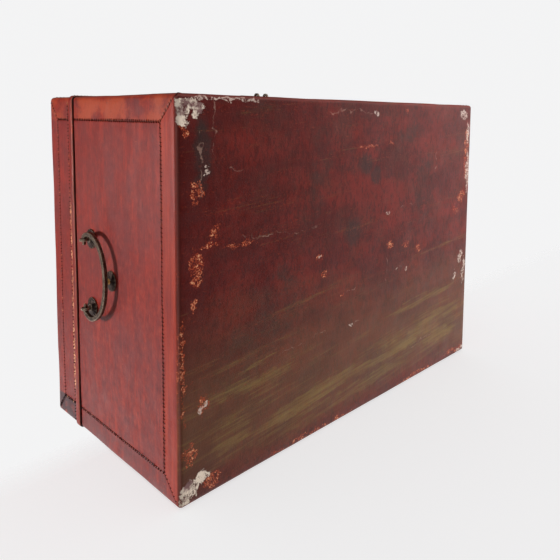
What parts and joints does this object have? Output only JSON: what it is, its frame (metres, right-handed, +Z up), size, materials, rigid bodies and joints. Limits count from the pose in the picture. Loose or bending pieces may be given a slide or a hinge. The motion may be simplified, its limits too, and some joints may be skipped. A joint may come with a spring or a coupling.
{
  "type": "leather jewellery case",
  "caption": "Leather-covered wooden jewellery case with a shallow hinged lid, a bail handle on each end and a hasp with twin staples on the front.",
  "frame": {"origin": "middle of the underside, on the surface the case stands on", "axes": "+Z up towards the lid, -Y towards the front with the lock, +X along the length towards the right end seen from the front"},
  "size_m": [0.433, 0.3161, 0.207],
  "materials": {
    "side_leather": "worn red-brown lacquered leather",
    "base_leather": "dark maroon lacquered leather, scuffed and chipped",
    "band_leather": "worn folded leather strip",
    "wood": "bare old softwood boards",
    "lining": "thin matt dark red leather skin glued to the boards",
    "bronze": "dark aged brass, rubbed on the edges",
    "dark_plate": "dark tarnished brass sheet",
    "brass": "worn brass"
  },
  "bodies": {
    "case_body": {"bottom_board": "wood", "front_board": "wood", "back_board": "wood", "left_board": "wood", "right_board": "wood", "body_lining": "lining", "bottom_leather": "base_leather", "front_leather": "side_leather", "back_leather": "side_leather", "left_leather": "side_leather", "right_leather": "side_leather", "left_front_post": "bronze", "left_back_post": "bronze", "right_front_post": "bronze", "right_back_post": "bronze", "left_staple": "bronze", "right_staple": "bronze", "left_front_rosette": "dark_plate", "left_back_rosette": "dark_plate", "left_stop_rosette": "dark_plate", "right_front_rosette": "dark_plate", "right_back_rosette": "dark_plate", "right_stop_rosette": "dark_plate", "left_hinge_body_leaf": "dark_plate", "right_hinge_body_leaf": "dark_plate", "left_hinge_pin": "dark_plate", "right_hinge_pin": "dark_plate", "body_lock_plate": "dark_plate", "left_stop_stud": "brass", "right_stop_stud": "brass", "left_hinge_body_nail_1": "brass", "left_hinge_body_nail_2": "brass", "right_hinge_body_nail_1": "brass", "right_hinge_body_nail_2": "brass"},
    "lid": {"lid_top_board": "wood", "lid_front_board": "wood", "lid_back_board": "wood", "lid_left_board": "wood", "lid_right_board": "wood", "lid_lining": "lining", "lid_top_leather": "side_leather", "lid_front_leather": "side_leather", "lid_back_leather": "side_leather", "lid_left_leather": "side_leather", "lid_right_leather": "side_leather", "lid_rim_band": "band_leather", "lid_lock_plate": "dark_plate", "left_hinge_lid_leaf": "dark_plate", "right_hinge_lid_leaf": "dark_plate", "hasp_pin": "dark_plate", "left_lock_nail": "brass", "right_lock_nail": "brass", "left_hinge_lid_nail_1": "brass", "left_hinge_lid_nail_2": "brass", "right_hinge_lid_nail_1": "brass", "right_hinge_lid_nail_2": "brass"},
    "hasp": {"hasp": "bronze"},
    "left_bail": {"left_bail": "bronze"},
    "right_bail": {"right_bail": "bronze"}
  },
  "joints": [
    {"name": "lid_hinge", "type": "hinge", "parent": "case_body", "child": "lid", "pos_m": [0, 0.1539, 0.158], "axis": [-1, 0, 0], "range_deg": [0, 105]},
    {"name": "hasp_flip", "type": "hinge", "parent": "lid", "child": "hasp", "pos_m": [0, -0.1552, 0.163], "axis": [1, 0, 0], "range_deg": [0, 187]},
    {"name": "left_bail_swing", "type": "hinge", "parent": "case_body", "child": "left_bail", "pos_m": [-0.2126, 0, 0.129], "axis": [0, 1, 0], "range_deg": [0, 172]},
    {"name": "right_bail_swing", "type": "hinge", "parent": "case_body", "child": "right_bail", "pos_m": [0.2126, 0, 0.129], "axis": [0, -1, 0], "range_deg": [0, 172]}
  ]
}
